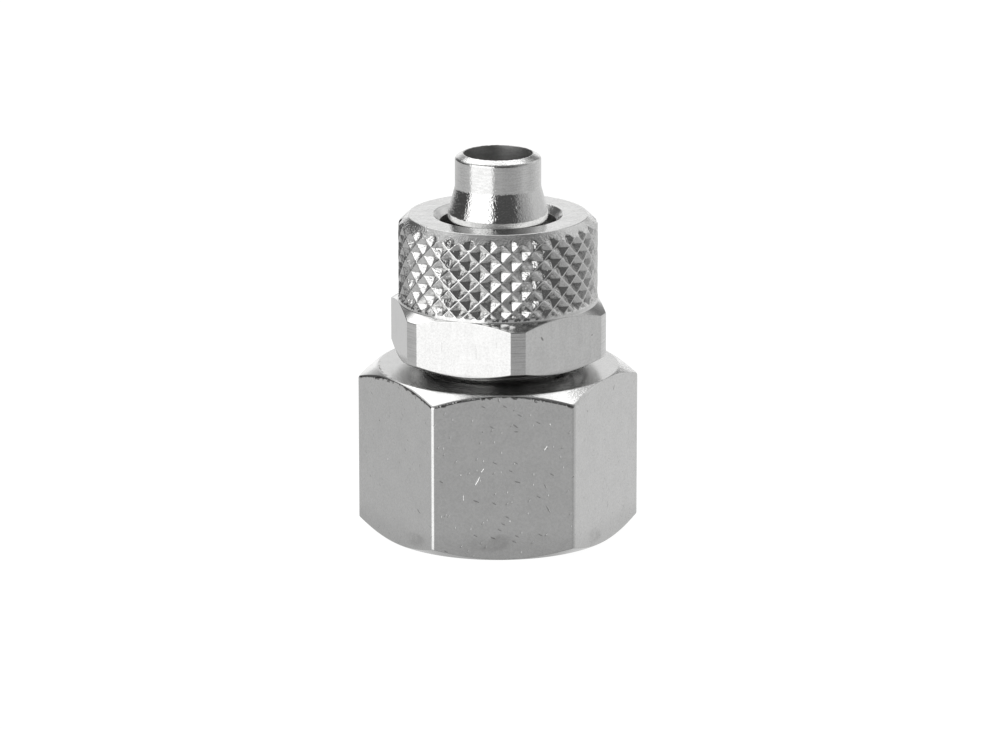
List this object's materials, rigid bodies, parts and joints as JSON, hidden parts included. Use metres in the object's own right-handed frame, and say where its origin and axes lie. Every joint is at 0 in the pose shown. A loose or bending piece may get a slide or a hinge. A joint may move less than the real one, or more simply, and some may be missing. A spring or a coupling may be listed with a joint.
{
  "type": "push-on tube connector with union nut",
  "caption": "Straight push-on fitting for plastic tube: hexagon end with a female pipe thread, hose stem, and a knurled and hexagonal union nut.",
  "frame": {"origin": "on the axis, in the plane of the hexagon end's lower face, on which the fitting stands", "axes": "+Z along the axis from the threaded end to the hose stem; two of the body hexagon's flats face +Y and -Y"},
  "size_m": [0.0196, 0.017, 0.0269],
  "materials": {
    "body_nickel": "bright nickel plate over turned brass, light scratches",
    "nut_nickel": "bright nickel plate over turned and knurled brass"
  },
  "bodies": {
    "fitting": {"fitting_body": "body_nickel"},
    "nut": {"union_nut": "nut_nickel"}
  },
  "joints": [
    {"name": "nut_off", "type": "slide", "parent": "fitting", "child": "nut", "axis": [0, 0, 1], "range_m": [0, 0.015]}
  ]
}
